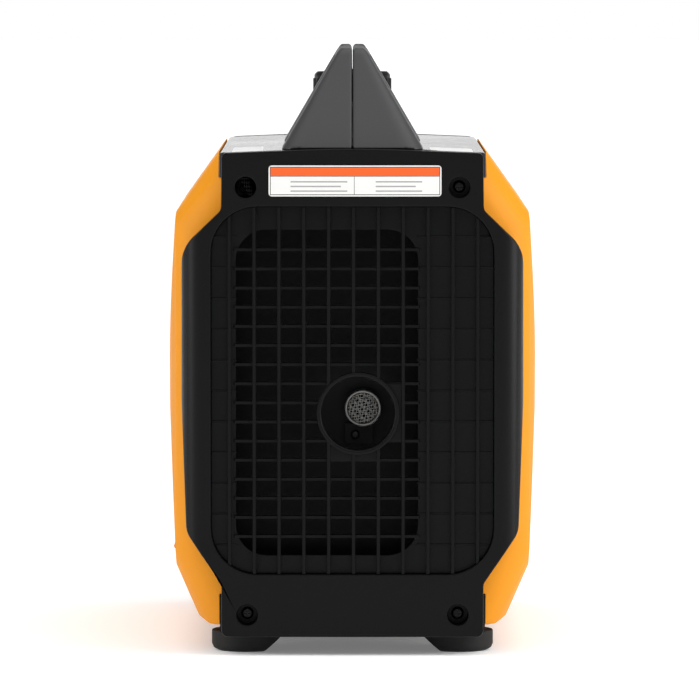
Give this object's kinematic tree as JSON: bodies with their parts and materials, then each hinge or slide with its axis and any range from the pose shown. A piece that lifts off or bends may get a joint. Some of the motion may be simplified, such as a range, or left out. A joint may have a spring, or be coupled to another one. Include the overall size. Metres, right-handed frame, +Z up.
{
  "type": "portable generator",
  "caption": "Suitcase-style inverter generator with end covers, side covers, carrying handle, rear exhaust grille, fuel cap, recoil starter and control panel.",
  "frame": {"origin": "centre of the bounding box in plan, on the floor under the feet", "axes": "+Z up, -Y toward the exhaust end, +Y toward the control panel, +X toward the starter grip's side"},
  "size_m": [0.287, 0.44, 0.472],
  "materials": {
    "black_moulding": "fine moulded grain",
    "black_steel": "heat-proof paint",
    "brass": "turned",
    "cast_alloy": "die cast, sand blasted",
    "copper_winding": "enamelled wire on laminations",
    "foam": "open-cell foam",
    "grey_moulding": "fine moulded grain, half matt",
    "heat_steel": "heat stained",
    "label": "printed film",
    "machined_steel": "ground",
    "orange_moulding": "satin moulded",
    "porcelain": "glazed",
    "red_plastic": "moulded",
    "reel_plastic": "natural nylon",
    "rope": "braided cord",
    "rubber": "matt",
    "screw_steel": "zinc plated",
    "tank_plastic": "blow moulded",
    "wire_mesh": "woven wire",
    "yellow_plastic": "moulded"
  },
  "bodies": {
    "housing": {"rear_cover": "black_moulding", "rear_grille": "black_moulding", "exhaust_collar": "black_moulding", "rear_cover_screws": "screw_steel", "rear_label": "label", "front_cover": "black_moulding", "front_cover_screws": "screw_steel", "left_side_cover": "orange_moulding", "right_side_cover": "orange_moulding", "side_cover_screws": "screw_steel", "door_hinge_pins": "screw_steel", "top_cover": "grey_moulding", "base_pan": "black_moulding", "rubber_feet": "rubber", "handle_left": "grey_moulding", "handle_right": "grey_moulding", "handle_screws": "screw_steel", "fuel_tank": "tank_plastic", "fuel_strainer": "tank_plastic", "crankcase": "cast_alloy", "crank_bearings": "machined_steel", "crankpin": "machined_steel", "connecting_rod": "cast_alloy", "piston": "cast_alloy", "engine_cylinder": "cast_alloy", "cylinder_head": "cast_alloy", "spark_plug": "porcelain", "spark_plug_boot": "rubber", "carburetor": "cast_alloy", "air_cleaner": "black_moulding", "air_cleaner_element": "foam", "engine_mounts": "rubber", "alternator_stator": "copper_winding", "recoil_housing": "black_moulding", "recoil_spring": "machined_steel", "muffler": "heat_steel", "muffler_shield": "black_steel", "spark_arrester": "wire_mesh", "arrester_screw": "screw_steel", "inverter_module": "cast_alloy", "control_panel": "black_moulding", "ac_outlets": "black_moulding", "dc_usb_ports": "black_moulding", "panel_terminals": "brass"},
    "cap_seal": {"fuel_cap_gasket": "rubber"},
    "cap": {"fuel_cap": "black_moulding"},
    "cap_vent": {"fuel_cap_vent": "black_moulding"},
    "door": {"service_door": "orange_moulding"},
    "door_latch": {"service_door_latch": "black_moulding"},
    "starter_grip": {"recoil_grip": "black_moulding", "recoil_rope": "rope"},
    "starter_reel": {"recoil_reel": "reel_plastic"},
    "crank": {"crankshaft": "machined_steel", "alternator_rotor": "machined_steel", "flywheel_fan": "cast_alloy"},
    "dial": {"engine_dial": "black_moulding"},
    "eco_rocker": {"eco_switch": "black_moulding"},
    "breaker": {"breaker_button": "red_plastic"},
    "port_flap": {"port_cover": "rubber"},
    "oil_cap": {"oil_filler_cap": "yellow_plastic"}
  },
  "joints": [
    {"name": "fuel_cap_lift", "type": "slide", "parent": "housing", "child": "cap_seal", "axis": [0, 0, 1], "range_m": [0, 0.06]},
    {"name": "fuel_cap_turn", "type": "hinge", "parent": "cap_seal", "child": "cap", "pos_m": [0, 0.14, 0.43], "axis": [0, 0, 1], "range_deg": [0, 360]},
    {"name": "cap_vent_turn", "type": "hinge", "parent": "cap", "child": "cap_vent", "pos_m": [0, 0.14, 0.448], "axis": [0, 0, 1], "range_deg": [0, 90]},
    {"name": "service_door_open", "type": "hinge", "parent": "housing", "child": "door", "pos_m": [-0.1404, -0.01, 0.0716], "axis": [0, -1, 0], "range_deg": [0, 90]},
    {"name": "door_latch_turn", "type": "hinge", "parent": "door", "child": "door_latch", "pos_m": [-0.13, -0.01, 0.272], "axis": [-1, 0, 0], "range_deg": [0, 90]},
    {"name": "starter_pull", "type": "slide", "parent": "housing", "child": "starter_grip", "axis": [1, 0, 0], "range_m": [0, 0.6], "stiffness_N_per_m": 20, "springref_m": -0.3, "deforming": ["recoil_rope"]},
    {"name": "starter_reel_spin", "type": "hinge", "parent": "housing", "child": "starter_reel", "pos_m": [0, 0.119, 0.12], "axis": [0, 1, 0], "range_deg": [0, 790]},
    {"name": "crank_spin", "type": "hinge", "parent": "housing", "child": "crank", "pos_m": [0, -0.012, 0.12], "axis": [0, 1, 0], "continuous": true},
    {"name": "engine_dial_turn", "type": "hinge", "parent": "housing", "child": "dial", "pos_m": [0.058, 0.208, 0.316], "axis": [0, 1, 0], "range_deg": [0, 110]},
    {"name": "eco_switch_rock", "type": "hinge", "parent": "housing", "child": "eco_rocker", "pos_m": [0.076, 0.208, 0.244], "axis": [1, 0, 0], "range_deg": [0, 18]},
    {"name": "breaker_press", "type": "slide", "parent": "housing", "child": "breaker", "axis": [0, -1, 0], "range_m": [0, 0.003], "stiffness_N_per_m": 300, "springref_m": -0.002},
    {"name": "port_cover_open", "type": "hinge", "parent": "housing", "child": "port_flap", "pos_m": [-0.066, 0.2112, 0.332], "axis": [1, 0, 0], "range_deg": [0, 110]},
    {"name": "oil_cap_turn", "type": "hinge", "parent": "housing", "child": "oil_cap", "pos_m": [-0.08, 0.012, 0.096], "axis": [-1, 0, 0], "range_deg": [0, 360]}
  ],
  "couplings": [
    {"joint": "starter_reel_spin", "follows": "starter_pull", "rad_per_m": 22.727}
  ]
}
